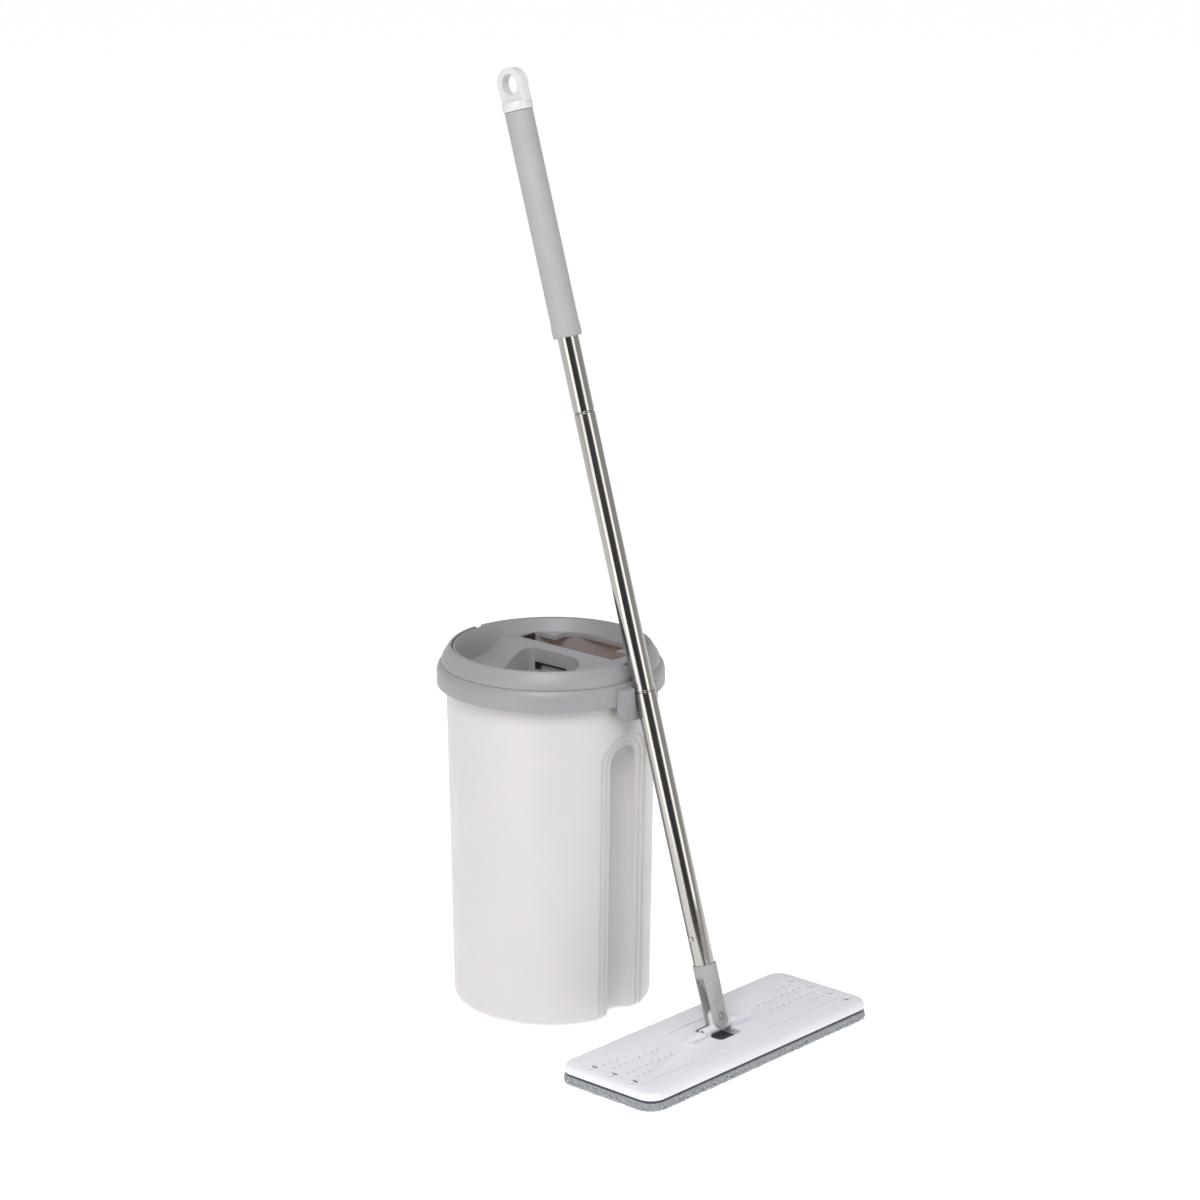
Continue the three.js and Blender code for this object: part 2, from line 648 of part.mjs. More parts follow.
/** Channel below the bridge, with a toothed stop that shows at the slot's back end. */
function scraperFrame() {
  const [front, back] = scraperY;
  const stopY = [SLOT_BACK_Y - GAP - STOP_THICK, SLOT_BACK_Y - GAP];
  const bottom = FRAME_TOP_Z - FRAME_TALL;
  const outside = box([FRAME_BACK_X, SLOT_X], [front - FRAME_WALL, SLOT_BACK_Y - GAP], [bottom, FRAME_TOP_Z]);
  const hollow = box(
    [FRAME_BACK_X + FRAME_WALL, SLOT_X + PAST],
    scraperY,
    [bottom + FRAME_WALL, FRAME_TOP_Z - FRAME_WALL],
  );
  const halfWindow = FRAME_WINDOW_LONG / 2;
  const window = box(
    [FRAME_BACK_X - PAST, FRAME_BACK_X + FRAME_WALL + PAST],
    [WINDOW_MID_Y - halfWindow, WINDOW_MID_Y + halfWindow],
    [FRAME_MID_Z - 1, FRAME_MID_Z - 1 + FRAME_WINDOW_TALL],
  );
  const stopX = [SLOT_X + EASE, SLOT_X + SLOT_WIDE - STOP_SIDE];
  const foot = box([SLOT_X - 1, stopX[1]], stopY, [bottom, FRAME_TOP_Z]);
  const stop = box(stopX, stopY, [bottom, FRAME_TOP_Z + STOP_RISE]);
  const pitch = (stopX[1] - stopX[0]) / (2 * STOP_TEETH - 1);
  const gaps = Array.from({ length: STOP_TEETH - 1 }, (_, i) => {
    const x = stopX[0] + (2 * i + 1) * pitch;
    const z = FRAME_TOP_Z + STOP_RISE;
    return box([x, x + pitch], [stopY[0] - PAST, stopY[1] + PAST], [z - STOP_TOOTH_H, z + PAST]);
  });
  const relief = box(
    [FRAME_BACK_X - PAST, SLOT_X - 1],
    [back + FRAME_WALL, 2 * back],
    [bottom - PAST, FRAME_MID_Z],
  );
  return piece('scraper_frame', cut(join(outside, foot, stop), hollow, window, relief, ...gaps), 'black');
}

const holderFrontX = SLOT_X - 3.5;
const holderY = [scraperY[0] + EASE, scraperY[1] - EASE];

function scraperHolder() {
  const z = [FRAME_MID_Z - HOLDER_TALL / 2, FRAME_MID_Z + HOLDER_TALL / 2];
  return piece('scraper_holder', box([holderFrontX - HOLDER_THICK, holderFrontX], holderY, z), 'plate');
}

function scraperBlade() {
  const shape = new THREE.Shape();
  const tip = SLOT_X + BLADE_REACH;
  shape.moveTo(holderFrontX + GAP, -BLADE_THICK / 2);
  shape.lineTo(tip, -BLADE_TIP_THICK / 2);
  shape.lineTo(tip, BLADE_TIP_THICK / 2);
  shape.lineTo(holderFrontX + GAP, BLADE_THICK / 2);
  const long = holderY[1] - holderY[0] - 4;
  const geometry = new THREE.ExtrudeGeometry(shape, { depth: long, bevelEnabled: false });
  geometry.rotateX(Math.PI / 2).translate(0, SLOT_MID_Y + long / 2, FRAME_MID_Z);
  return piece('scraper_blade', solid(geometry), 'rubber');
}

// ---------------------------------------------------------------- mop head

function mopPad() {
  const corner = HEAD_CORNER + PAD_OVERHANG;
  const outline = roundRect(HEAD_HALF_X + PAD_OVERHANG, HEAD_HALF_Y + PAD_OVERHANG, corner);
  return piece('mop_pad', raised(outline, 0, PAD_H), 'fabric');
}

function backingPlate() {
  const inset = BACKING_INSET;
  const outline = roundRect(HEAD_HALF_X - inset, HEAD_HALF_Y - inset, HEAD_CORNER - inset);
  return piece('backing_plate', raised(outline, BACKING_Z, BACKING_Z + BACKING_H), 'rubber');
}

/** The plate's outside: an upright edge below a bevel. */
function plateBlank() {
  const inset = PLATE_BEVEL;
  const outline = roundRect(HEAD_HALF_X - inset, HEAD_HALF_Y - inset, HEAD_CORNER - inset);
  const bevelH = PLATE_H - PLATE_EDGE_H;
  const geometry = new THREE.ExtrudeGeometry(outline, {
    depth: PLATE_EDGE_H,
    bevelSize: inset,
    bevelThickness: bevelH,
    bevelSegments: 2,
    curveSegments: 6,
  });
  geometry.translate(0, 0, PLATE_Z);
  const above = box([-HEAD_LONG, HEAD_LONG], [-HEAD_WIDE, HEAD_WIDE], [PLATE_Z, 2 * PLATE_TOP_Z]);
  return common(solid(geometry), above);
}

function drainHoles() {
  const holes = [];
  for (const { y, count } of HOLE_ROWS) {
    for (let i = 0; i < count; i += 1) {
      for (const side of [-1, 1]) {
        const x = side * (HOLE_OUT_X - i * HOLE_PITCH);
        holes.push(rod(HOLE_R, PLATE_Z, PLATE_TOP_Z + PAST, 6).translate([x, y, 0]));
      }
    }
  }
  return holes;
}

/** Bearing ears for the axle, either side of the hub. */
function ears() {
  return [-1, 1].map((side) => {
    const near = HUB_LONG / 2 + EASE;
    const ends = span(side, near, near + EAR_THICK);
    const top = rodX(EAR_R, ...ends, AXLE_Z);
    const stem = box(ends, [-EAR_R, EAR_R], [PLATE_TOP_Z - RECESS_DEEP - PLATE_SHEET, AXLE_Z]);
    const far = near + EAR_THICK;
    const blank = rodX(EAR_R, ...span(side, far - 1, far + RIDGE_LONG), AXLE_Z - RIDGE_DROP);
    const above = [PLATE_TOP_Z - PLATE_SHEET, AXLE_Z + EAR_R];
    const ridge = common(blank, box([-HEAD_LONG, HEAD_LONG], [-EAR_R, EAR_R], above));
    return join(top, stem, ridge);
  });
}

function headPlate() {
  const inset = PLATE_WALL;
  const under = roundRect(HEAD_HALF_X - inset, HEAD_HALF_Y - inset, HEAD_CORNER - inset);
  const hollow = cut(
    raised(under, PLATE_Z - PAST, PLATE_Z + PLATE_EDGE_H),
    box([-RECESS_HALF_X, RECESS_HALF_X], [-RECESS_HALF_Y, RECESS_HALF_Y], [0, PLATE_TOP_Z]),
  );
  const innerInset = PLATE_WALL + PLATE_BEVEL;
  const shape = roundRect(HEAD_HALF_X - innerInset, HEAD_HALF_Y - innerInset, HEAD_CORNER - innerInset);
  const ceiling = PLATE_TOP_Z - PLATE_SHEET;
  const rimX = RECESS_HALF_X + RECESS_RIM;
  const rimY = RECESS_HALF_Y + RECESS_RIM;
  const upper = cut(
    raised(shape, PLATE_Z, ceiling),
    box([-rimX, rimX], [-rimY, rimY], [0, PLATE_TOP_Z]),
  );
  const well = raised(roundRect(WELL_HALF_X, WELL_HALF_Y, 5), PLATE_Z - PAST, PLATE_TOP_Z + PAST);
  const recess = raised(
    roundRect(RECESS_HALF_X, RECESS_HALF_Y, 8),
    PLATE_TOP_Z - RECESS_DEEP,
    PLATE_TOP_Z + PAST,
  );
  const grooves = [-1, 1].map((side) => raised(
    roundRect(GROOVE_LONG / 2, GROOVE_WIDE / 2, GROOVE_WIDE / 2 - 0.5, side * GROOVE_MID_X, GROOVE_MID_Y),
    PLATE_TOP_Z - GROOVE_DEEP,
    PLATE_TOP_Z + PAST,
  ));
  const notches = LEFT_BUTTON_YS.map((y) => box(
    [NOTCH_X - NOTCH_LONG / 2, NOTCH_X + NOTCH_LONG / 2],
    [y - NOTCH_WIDE / 2, y + NOTCH_WIDE / 2],
    [PLATE_Z, PLATE_TOP_Z + PAST],
  ));
  const opened = cut(plateBlank(), hollow, upper, well, recess, ...grooves, ...notches, ...drainHoles());
  const bore = rodX(AXLE_R + BORE_EASE, -AXLE_HALF - GAP, AXLE_HALF + GAP, AXLE_Z);
  return piece('head_plate', cut(join(opened, ...ears()), bore), 'plate');
}

function button(name, x, y) {
  const bottom = PLATE_TOP_Z + GAP;
  const mesh = piece(name, rod(BUTTON_R, bottom, bottom + BUTTON_H, 16), 'grey');
  mesh.position.set(x, y, 0);
  return mesh;
}

function swivelAxle() {
  return piece('swivel_axle', rodX(AXLE_R, -AXLE_HALF, AXLE_HALF, AXLE_Z), 'steel');
}

// ---------------------------------------------------------------- pole, upright about its axle

function swivelBlock() {
  const hub = rodX(HUB_R, -HUB_LONG / 2, HUB_LONG / 2, 0);
  const neck = box([-NECK_HALF_X, NECK_HALF_X], [-NECK_HALF_Y, NECK_HALF_Y], [0, PIN_RISE]);
  const head = rodY(NECK_HALF_X, -NECK_HALF_Y, NECK_HALF_Y, PIN_RISE);
  const axleBore = rodX(AXLE_R + BORE_EASE, -HUB_LONG, HUB_LONG, 0);
  const pinBore = rodY(PIN_R + BORE_EASE, -2 * NECK_HALF_Y, 2 * NECK_HALF_Y, PIN_RISE);
  return piece('swivel_block', cut(join(hub, neck, head), axleBore, pinBore), 'plate');
}

function connectorFork() {
  const section = roundRect(FORK_HALF_X, FORK_HALF_Y, FORK_CORNER);
  const footZ = FORK_LOW + FORK_HALF_X;
  const foot = join(
    rodY(FORK_HALF_X, -2 * FORK_HALF_Y, 2 * FORK_HALF_Y, footZ),
    box([-FORK_HALF_X, FORK_HALF_X], [-2 * FORK_HALF_Y, 2 * FORK_HALF_Y], [footZ, FORK_TOP]),
  );
  const tines = common(raised(section, FORK_LOW, FORK_FLARE_LOW, 4), foot);
  const low = section.getPoints(4).map(({ x, y }) => new THREE.Vector3(x, y, FORK_FLARE_LOW));
  const high = Array.from({ length: ROUND_SMALL }, (_, i) => {
    const turn = 2 * Math.PI * i / ROUND_SMALL;
    return new THREE.Vector3(FORK_TOP_R * Math.cos(turn), FORK_TOP_R * Math.sin(turn), FORK_FLARE_HIGH);
  });
  const flare = solid(new ConvexGeometry([...low, ...high]));
  const top = rod(FORK_TOP_R, FORK_FLARE_HIGH, FORK_TOP, ROUND_SMALL);
  const bosses = [-1, 1].map((side) => {
    const ends = span(side, FORK_HALF_Y - 1, FORK_HALF_Y + BOSS_H);
    return rodY(BOSS_R, ...ends, PIN_RISE);
  });
  const half = NECK_HALF_Y + EASE;
  const gap = box([-2 * FORK_HALF_X, 2 * FORK_HALF_X], [-half, half], [FORK_LOW - PAST, FORK_CROTCH]);
  const windows = [-1, 1].map((side) => {
    const wedge = new THREE.Shape();
    wedge.moveTo(side * 2 * FORK_HALF_X, FORK_WINDOW_TOP);
    wedge.lineTo(side * FORK_HALF_X, FORK_WINDOW_TOP);
    wedge.lineTo(side * (FORK_HALF_X - FORK_WINDOW_DEEP), FORK_CROTCH - PAST);
    wedge.lineTo(side * 2 * FORK_HALF_X, FORK_CROTCH - PAST);
    const blank = new THREE.ExtrudeGeometry(wedge, { depth: 2 * half, bevelEnabled: false });
    return solid(blank.rotateX(Math.PI / 2).translate(0, half, 0));
  });
  const slope = Math.atan2(FORK_TOP_R - FORK_HALF_Y, FORK_FLARE_HIGH - FORK_FLARE_LOW);
  const panels = [-1, 1].map((side) => box(
    [-FORK_PANEL_HALF, FORK_PANEL_HALF],
    span(side, -FORK_PANEL_DEEP, FORK_HALF_Y),
    [0, FORK_PANEL_LONG],
  )
    .rotate([-side * THREE.MathUtils.radToDeg(slope), 0, 0])
    .translate([0, side * FORK_HALF_Y, FORK_FLARE_LOW]));
  const socket = rod(TUBE_R + GAP, FORK_SOCKET - GAP, FORK_TOP + PAST);
  const pinBore = rodY(PIN_R + BORE_EASE, -2 * FORK_HALF_Y, 2 * FORK_HALF_Y, PIN_RISE);
  const blank = join(tines, flare, top, ...bosses);
  return piece('connector_fork', cut(blank, gap, socket, pinBore, ...windows, ...panels), 'grip');
}

/** Headed pin through both tines of the fork. */
function forkPin() {
  const end = FORK_HALF_Y + BOSS_H + GAP;
  const heads = [-1, 1].map((side) => {
    const ends = span(side, end, end + PIN_HEAD_H);
    return rodY(PIN_HEAD_R, ...ends, PIN_RISE, 0, 24);
  });
  return piece('fork_pin', join(rodY(PIN_R, -end - 0.5, end + 0.5, PIN_RISE, 0, 24), ...heads), 'plate');
}

function tube(name, bottom, top) {
  const body = cut(rod(TUBE_R, bottom, top), rod(TUBE_R - TUBE_WALL, bottom - PAST, top + PAST));
  return piece(name, body, 'steel');
}

/** Plug that joins two tubes; its thin ring shows between them. */
function tubeJoint(name, height) {
  const plug = rod(TUBE_R - TUBE_WALL - GAP, height - JOINT_PLUG_LONG, height + JOINT_PLUG_LONG, 24);
  const ring = rod(JOINT_RING_R, height - JOINT_RING_H / 2, height + JOINT_RING_H / 2);
  return piece(name, join(plug, ring), 'steel');
}

function tubeRivet() {
  const seat = TUBE_R + GAP;
  const body = rodX(RIVET_R, -seat - RIVET_H, -seat, RIVET_RISE, 0, 20);
  return piece('tube_rivet', body, 'steel');
}

function gripSleeve() {
  const outside = turned([
    [TUBE_R + GAP, GRIP_BOTTOM],
    [GRIP_BOTTOM_R - 1, GRIP_BOTTOM],
    [GRIP_BOTTOM_R, GRIP_BOTTOM + 1.5],
    [GRIP_BOTTOM_R, GRIP_BOTTOM + 8],
    [GRIP_R, GRIP_BOTTOM + 14],
    [GRIP_R, GRIP_TOP],
    [TUBE_R + GAP, GRIP_TOP],
  ], 28);
  return piece('grip_sleeve', outside, 'grip');
}

/** Cap with a flat hanging loop, and a plug that goes into the pole. */
function hangCap() {
  const bottom = GRIP_TOP + GAP;
  const plug = rod(TUBE_R - TUBE_WALL - GAP, bottom - CAP_PLUG_LONG, bottom + 1);
  const base = rod(CAP_BASE_R, bottom, bottom + CAP_BASE_H);
  const mid = LOOP_TOP - LOOP_R;
  const ring = rodX(LOOP_R, -LOOP_THICK / 2, LOOP_THICK / 2, mid, 0, 32);
  const neck = box([-LOOP_THICK / 2, LOOP_THICK / 2], [-LOOP_R, LOOP_R], [bottom + CAP_BASE_H - 1, mid]);
  const hole = rodX(LOOP_HOLE_R, -LOOP_THICK, LOOP_THICK, mid, 0, 28);
  const neckInBase = common(neck, rod(LOOP_R, bottom, mid, 32));
  return piece('hang_cap', cut(join(plug, base, ring, neckInBase), hole), 'white');
}

// ---------------------------------------------------------------- assembly

const bucket = new THREE.Group();
bucket.position.y = BUCKET_Y;
bucket.add(piece('bucket_body', bucketBody(), 'white'));
for (let index = 0; index < FOOT_COUNT; index += 1) bucket.add(foot(index));
bucket.add(lidInsert(), poleClip(), carryHandle(), handlePin(-1), handlePin(1));
bucket.add(scraperFrame(), scraperHolder(), scraperBlade());

const head = new THREE.Group();
head.position.y = HEAD_Y;
head.add(mopPad(), backingPlate(), headPlate(), swivelAxle());
LEFT_BUTTON_YS.forEach((y, i) => head.add(button(`plate_button_left_${i + 1}`, LEFT_BUTTON_X, y)));
RIGHT_BUTTON_YS.forEach((y, i) => head.add(button(`plate_button_right_${i + 1}`, RIGHT_BUTTON_X, y)));

const pole = new THREE.Group();
pole.position.set(0, HEAD_Y, AXLE_Z);
pole.rotation.x = -LEAN;
pole.add(swivelBlock(), connectorFork(), forkPin());
const ringHalf = JOINT_RING_H / 2 + GAP;
pole.add(tube('lower_tube', FORK_SOCKET, LOWER_JOINT - ringHalf), tubeRivet());
pole.add(tubeJoint('tube_joint_lower', LOWER_JOINT));
pole.add(tube('middle_tube', LOWER_JOINT + ringHalf, UPPER_JOINT - ringHalf));
pole.add(tubeJoint('tube_joint_upper', UPPER_JOINT));
pole.add(tube('upper_tube', UPPER_JOINT + ringHalf, GRIP_TOP));
pole.add(gripSleeve(), hangCap());

const group = new THREE.Group();
group.add(bucket, head, pole);

export default group;
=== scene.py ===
"""Flat mop parked in the clip of its round scraper bucket: skins, finishes and studio."""

import json
import logging
import math
import random
from dataclasses import dataclass, field
from enum import Enum
from typing import Iterable, Sequence

import bmesh
import bpy
from mathutils import Matrix, Vector

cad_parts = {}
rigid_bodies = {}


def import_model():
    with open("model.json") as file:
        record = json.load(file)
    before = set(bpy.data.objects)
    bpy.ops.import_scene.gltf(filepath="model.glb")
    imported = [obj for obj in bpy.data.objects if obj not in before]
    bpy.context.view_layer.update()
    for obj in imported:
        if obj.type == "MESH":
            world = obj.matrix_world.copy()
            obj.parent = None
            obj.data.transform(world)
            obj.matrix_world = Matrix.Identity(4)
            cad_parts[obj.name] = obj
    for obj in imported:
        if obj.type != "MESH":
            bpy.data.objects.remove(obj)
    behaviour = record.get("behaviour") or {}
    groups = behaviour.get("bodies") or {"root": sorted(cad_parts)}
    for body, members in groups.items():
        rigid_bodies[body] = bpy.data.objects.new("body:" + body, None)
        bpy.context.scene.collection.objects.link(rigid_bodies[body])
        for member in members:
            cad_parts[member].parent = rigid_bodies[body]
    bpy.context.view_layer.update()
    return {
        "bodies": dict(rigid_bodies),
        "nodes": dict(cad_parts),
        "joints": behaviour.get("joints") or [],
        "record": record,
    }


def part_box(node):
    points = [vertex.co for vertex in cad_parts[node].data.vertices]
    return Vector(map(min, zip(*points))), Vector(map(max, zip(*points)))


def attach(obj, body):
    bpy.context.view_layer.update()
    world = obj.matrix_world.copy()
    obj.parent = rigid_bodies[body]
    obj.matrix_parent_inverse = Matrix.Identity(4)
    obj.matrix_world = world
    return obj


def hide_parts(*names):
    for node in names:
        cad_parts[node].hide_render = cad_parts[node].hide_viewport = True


LOG = logging.getLogger("flat_mop")
MM = 0.001
MERGE = 1e-6
Point = tuple[float, float, float]
Profile = list[tuple[float, float]]


# ---------------------------------------------------------------- finishes


def linear(hex_colour: str) -> tuple[float, float, float, float]:
    """Turn an sRGB hex colour into linear light.

    Args:
        hex_colour: a colour such as "#b0b2b4".

    Returns:
        Red, green, blue and an alpha of one.
    """
    values = [int(hex_colour[i : i + 2], 16) / 255 for i in (1, 3, 5)]
    lit = [c / 12.92 if c <= 0.04045 else ((c + 0.055) / 1.055) ** 2.4 for c in values]
    return (lit[0], lit[1], lit[2], 1.0)


def add(
    tree: bpy.types.NodeTree,
    kind: str,
    settings: dict,
    links: dict[str, bpy.types.NodeSocket] | None = None,
) -> bpy.types.Node:
    """Add a node, set its values and link its inputs.

    Args:
        tree: the material's or world's node tree.
        kind: the node's type name.
        settings: property names, or input names or numbers, with their values.
        links: input names or numbers with the output sockets that feed them.

    Returns:
        The new node.
    """
    node = tree.nodes.new(kind)
    for name, value in settings.items():
        if isinstance(name, str) and hasattr(node, name):
            setattr(node, name, value)
        else:
            node.inputs[name].default_value = value
    for name, socket in (links or {}).items():
        tree.links.new(socket, node.inputs[name])
    return node


@dataclass(frozen=True)
class Finish:
    """One real material, and how its surface was made.

    Sizes are in millimetres. A moulded grain is really about 0.1 mm; it is drawn near 1 mm so that it
    still shows on an object a metre tall, and its depth is drawn shallower to match.
    """

    name: str
    colour: str
    shade: str
    roughness: float
    metallic: float = 0.0
    ior: float = 1.49
    mottle_mm: float = 60.0
    grain_mm: float = 1.2
    grain_depth_mm: float = 0.02
    gloss_swing: float = 0.06
    coat: float = 0.0
    subsurface: float = 0.0
    sheen: float = 0.0
    # painted_glow: emission of the finish's own colour, a painted glow standing in for light; it is no
    # lamp
    painted_glow: float = 0.0
    stretch: Point = (1.0, 1.0, 1.0)
    glow_depth: float = 0.004

    def build(self) -> bpy.types.Material:
        """Make the material: a slow mottle in colour and gloss over a fine surface grain.

        Returns:
            The new material.
        """
        material = bpy.data.materials.new(self.name)
        material.use_nodes = True
        tree = material.node_tree
        shader = tree.nodes["Principled BSDF"]
        place = add(tree, "ShaderNodeTexCoord", {})
        turned = add(
            tree,
            "ShaderNodeMapping",
            {"Scale": self.stretch},
            {"Vector": place.outputs["Object"]},
        ).outputs["Vector"]
        mottle = add(
            tree,
            "ShaderNodeTexNoise",
            {"Scale": 1 / (self.mottle_mm * MM), "Detail": 3.0, "Roughness": 0.55},
            {"Vector": turned},
        ).outputs["Fac"]
        tint = add(tree, "ShaderNodeMix", {"data_type": "RGBA"}, {"Factor": mottle})
        tint.inputs[6].default_value = linear(self.colour)
        tint.inputs[7].default_value = linear(self.shade)
        tree.links.new(tint.outputs[2], shader.inputs["Base Color"])
        grain = add(
            tree,
            "ShaderNodeTexNoise",
            {"Scale": 1 / (self.grain_mm * MM), "Detail": 2.0, "Roughness": 0.6},
            {"Vector": turned},
        ).outputs["Fac"]
        low, high = self.roughness - self.gloss_swing, self.roughness + self.gloss_swing
        gloss = add(
            tree,
            "ShaderNodeMapRange",
            {"From Min": 0.3, "From Max": 0.7, "To Min": low, "To Max": high},
            {"Value": mottle},
        ).outputs["Result"]
        tree.links.new(gloss, shader.inputs["Roughness"])
        bump = add(
            tree,
            "ShaderNodeBump",
            {"Strength": 0.5, "Distance": self.grain_depth_mm * MM},
            {"Height": grain},
        )
        tree.links.new(bump.outputs["Normal"], shader.inputs["Normal"])
        shader.inputs["Metallic"].default_value = self.metallic
        shader.inputs["IOR"].default_value = self.ior
        shader.inputs["Coat Weight"].default_value = self.coat
        shader.inputs["Subsurface Weight"].default_value = self.subsurface
        shader.inputs["Subsurface Scale"].default_value = self.glow_depth
        shader.inputs["Sheen Weight"].default_value = self.sheen
        # A set painted glow emits the finish's own colour: painted light, not a lamp.
        shader.inputs["Emission Color"].default_value = linear(self.colour)
        shader.inputs["Emission Strength"].default_value = self.painted_glow
        return material


class Look(Enum):
    """Every finish on the set, named for the real material; the glowing inside one is named for its
    painted light.
    """

    # Injection-moulded polypropylene, polished mould: clean, warm, slightly soft gloss.
    BUCKET_WHITE = Finish(
        "moulded_polypropylene_warm_white", "#c4c1c0", "#bfbdbd", 0.34, subsurface=0.05, grain_mm=2.5
    )
    # The same wall from inside, painted tan and set glowing: painted light that stands in for the light
    # which comes through the wall.
    BUCKET_INSIDE_PAINTED_GLOW = Finish(
        "moulded_polypropylene_tan_painted_glow", "#cba98c", "#bb9678", 0.5, grain_mm=2.5, painted_glow=0.45
    )
    # The same plastic pigmented grey, from a finely eroded mould: even satin.
    LID_GREY = Finish(
        "moulded_polypropylene_grey", "#919194", "#8a8a8d", 0.42, grain_mm=0.9, grain_depth_mm=0.03
    )
    # ABS, cool white, smooth: a little glossier than the bucket.
    PLATE_WHITE = Finish("moulded_abs_cool_white", "#dedee4", "#d6d6dd", 0.36, ior=1.53, grain_mm=1.8)
    # Polypropylene grip and fork: matte, fine eroded grain.
    GRIP_GREY = Finish(
        "moulded_polypropylene_matte_grey", "#a1a3a2", "#979998", 0.58, grain_mm=0.8, grain_depth_mm=0.05
    )
    # ABS, white, from a polished mould: the glossiest of the plastics.
    CAP_WHITE = Finish("moulded_abs_white", "#cecdcc", "#c6c5c4", 0.3, ior=1.53)
    # Acetal, moulded black: smooth, low gloss.
    BLACK = Finish("moulded_acetal_black", "#1b1c1e", "#26272a", 0.45, ior=1.48)
    # Thermoplastic rubber, moulded dark grey: dull, faintly cloudy.
    RUBBER = Finish(
        "thermoplastic_rubber_dark_grey", "#4a4c53", "#3c3e4b", 0.75, ior=1.5, grain_depth_mm=0.05
    )
    # Seam-welded stainless tube, polished along its length: a mirror with faint drawn streaks.
    STEEL = Finish(
        "polished_stainless_steel", "#b3b0ac", "#a5a19d", 0.1, metallic=1.0, ior=1.5, mottle_mm=9.0,
        grain_mm=0.8, grain_depth_mm=0.004, gloss_swing=0.05, stretch=(1.0, 1.0, 0.06),
    )
    # Polyester microfibre, knitted in loops: dull, with light and dark flecks a few millimetres wide.
    MICROFIBRE = Finish(
        "woven_polyester_microfibre", "#b4b7bb", "#6f747b", 0.9, ior=1.5, mottle_mm=2.6, grain_mm=0.7,
        grain_depth_mm=0.25, sheen=0.4,
    )


class Paint:
    """Builds each finish once and hands it out."""

    def __init__(self) -> None:
        """Start with no finishes built."""
        self.made: dict[Look, bpy.types.Material] = {}

    def __call__(self, look: Look) -> bpy.types.Material:
        """The material of a look, built on first use."""
        if look not in self.made:
            self.made[look] = look.value.build()
        return self.made[look]


# ---------------------------------------------------------------- shapes


def lathe(profile: Profile, steps: int = 96) -> bmesh.types.BMesh:
    """Spin a closed profile about Z.

    Args:
        profile: radius and height pairs, in metres.
        steps: how many steps make the full turn.

    Returns:
        The spun shape, merged, with its faces pointing out.
    """
    bm = bmesh.new()
    verts = [bm.verts.new((r, 0.0, z)) for r, z in profile]
    edges = [bm.edges.new(pair) for pair in zip(verts, verts[1:] + verts[:1])]
    bmesh.ops.spin(
        bm, geom=verts + edges, cent=(0, 0, 0), axis=(0, 0, 1), angle=math.tau, steps=steps, use_merge=True
    )
    bmesh.ops.remove_doubles(bm, verts=bm.verts, dist=MERGE)
    bmesh.ops.recalc_face_normals(bm, faces=bm.faces)
    return bm


def soften(profile: Profile, radii: Sequence[float], cuts: int = 4) -> Profile:
    """Round the corners of a closed profile.

    Args:
        profile: radius and height pairs.
        radii: each corner's rounding, in metres, or 0 to leave it sharp.
        cuts: how many points replace a rounded corner, less one.

    Returns:
        The rounded profile.
    """
    reach_share = 0.48
    out: Profile = []
    for i, (corner, radius) in enumerate(zip(profile, radii)):
        here = Vector(corner)
        before = Vector(profile[i - 1]) - here
        after = Vector(profile[(i + 1) % len(profile)]) - here
        if radius == 0 or before.length < 1e-9 or after.length < 1e-9:
            out.append(tuple(here))
            continue
        reach = min(radius, reach_share * before.length, reach_share * after.length)
        start = here + before.normalized() * reach
        end = here + after.normalized() * reach
        for k in range(cuts + 1):
            t = k / cuts
            out.append(tuple(start * (1 - t) ** 2 + here * 2 * t * (1 - t) + end * t * t))
    return out


def refined(
    node: bpy.types.Object, bevel: float, segments: int = 2, corner: float = 28.0
) -> bmesh.types.BMesh:
    """Copy a CAD node's mesh, merge it and round its corners.

    Args:
        node: the CAD node's object.
        bevel: the rounding's width, in metres.
        segments: how many steps make the rounding.
        corner: how sharp, in degrees, an edge must be to be rounded.

    Returns:
        The rounded copy.
    """
    flat = math.radians(1.0)
    bm = bmesh.new()
    bm.from_mesh(node.data)
    bmesh.ops.remove_doubles(bm, verts=bm.verts, dist=2 * MERGE)
    bmesh.ops.dissolve_limit(bm, angle_limit=flat, verts=bm.verts, edges=bm.edges)
    sharp = [e for e in bm.edges if e.is_manifold and e.calc_face_angle(0) > math.radians(corner)]
    bmesh.ops.bevel(
        bm, geom=sharp, offset=bevel, offset_type="OFFSET", segments=segments, profile=0.5,
        affect="EDGES", clamp_overlap=True, material=-1,
    )
    return bm


def finished(
    name: str, bm: bmesh.types.BMesh, material: bpy.types.Material, smooth: float = 32.0
) -> bpy.types.Object:
    """Turn a bmesh into a shaded object at the origin.

    Args:
        name: the piece's name.
        bm: its shape, freed here.
        material: its finish.
        smooth: edges below this angle, in degrees, are shaded smooth.

    Returns:
        The new object.
    """
    mesh = bpy.data.meshes.new(name)
    bm.to_mesh(mesh)
    bm.free()
    mesh.shade_smooth()
    mesh.set_sharp_from_angle(angle=math.radians(smooth))
    mesh.materials.append(material)
    obj = bpy.data.objects.new(name, mesh)
    bpy.context.scene.collection.objects.link(obj)
    return obj


def ease(t: float) -> float:
    """A smooth step from 0 to 1."""
    t = min(max(t, 0.0), 1.0)
    return t * t * (3 - 2 * t)


